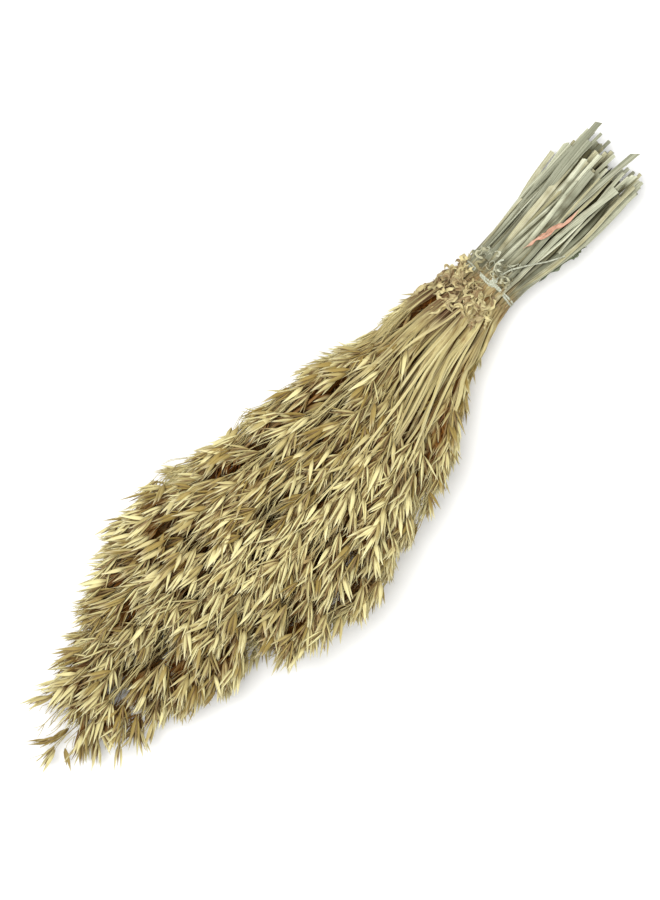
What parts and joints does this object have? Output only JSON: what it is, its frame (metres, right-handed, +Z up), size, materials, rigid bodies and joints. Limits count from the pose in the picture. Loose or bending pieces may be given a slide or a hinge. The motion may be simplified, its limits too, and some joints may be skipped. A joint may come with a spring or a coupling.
{
  "type": "bundle of dried oats",
  "caption": "Bundle of dried oat stalks with full, drooping seed heads, tied round the stems with thin cord and lying on its side.",
  "frame": {"origin": "middle of the footprint, on the surface that the bundle lies on", "axes": "+X along the bundle towards the cut stem ends, the seed heads are towards -X; +Z up from the surface; +Y across the bundle"},
  "size_m": [0.6946, 0.204, 0.1093],
  "materials": {
    "straw": "matte",
    "cord": "matte",
    "dry_leaf": "matte",
    "pink_leaf": "matte",
    "green_leaf": "matte"
  },
  "bodies": {
    "root": {"curled_leaf": "green_leaf", "leaf_scrap_01": "dry_leaf", "leaf_scrap_02": "dry_leaf", "leaf_scrap_03": "dry_leaf", "oat_stalk_01": "straw", "oat_stalk_02": "straw", "oat_stalk_03": "straw", "oat_stalk_04": "straw", "oat_stalk_05": "straw", "oat_stalk_06": "straw", "oat_stalk_07": "straw", "oat_stalk_08": "straw", "oat_stalk_09": "straw", "oat_stalk_10": "straw", "oat_stalk_11": "straw", "oat_stalk_12": "straw", "oat_stalk_13": "straw", "oat_stalk_14": "straw", "oat_stalk_15": "straw", "oat_stalk_16": "straw", "oat_stalk_17": "straw", "oat_stalk_18": "straw", "oat_stalk_19": "straw", "oat_stalk_20": "straw", "oat_stalk_21": "straw", "oat_stalk_22": "straw", "oat_stalk_23": "straw", "oat_stalk_24": "straw", "oat_stalk_25": "straw", "oat_stalk_26": "straw", "oat_stalk_27": "straw", "oat_stalk_28": "straw", "oat_stalk_29": "straw", "oat_stalk_30": "straw", "oat_stalk_31": "straw", "oat_stalk_32": "straw", "oat_stalk_33": "straw", "oat_stalk_34": "straw", "oat_stalk_35": "straw", "oat_stalk_36": "straw", "oat_stalk_37": "straw", "oat_stalk_38": "straw", "oat_stalk_39": "straw", "oat_stalk_40": "straw", "oat_stalk_41": "straw", "oat_stalk_42": "straw", "oat_stalk_43": "straw", "oat_stalk_44": "straw", "oat_stalk_45": "straw", "oat_stalk_46": "straw", "oat_stalk_47": "straw", "oat_stalk_48": "straw", "oat_stalk_49": "straw", "oat_stalk_50": "straw", "oat_stalk_51": "straw", "oat_stalk_52": "straw", "oat_stalk_53": "straw", "pink_leaf_strip": "pink_leaf", "tie_cord": "cord"}
  },
  "joints": []
}
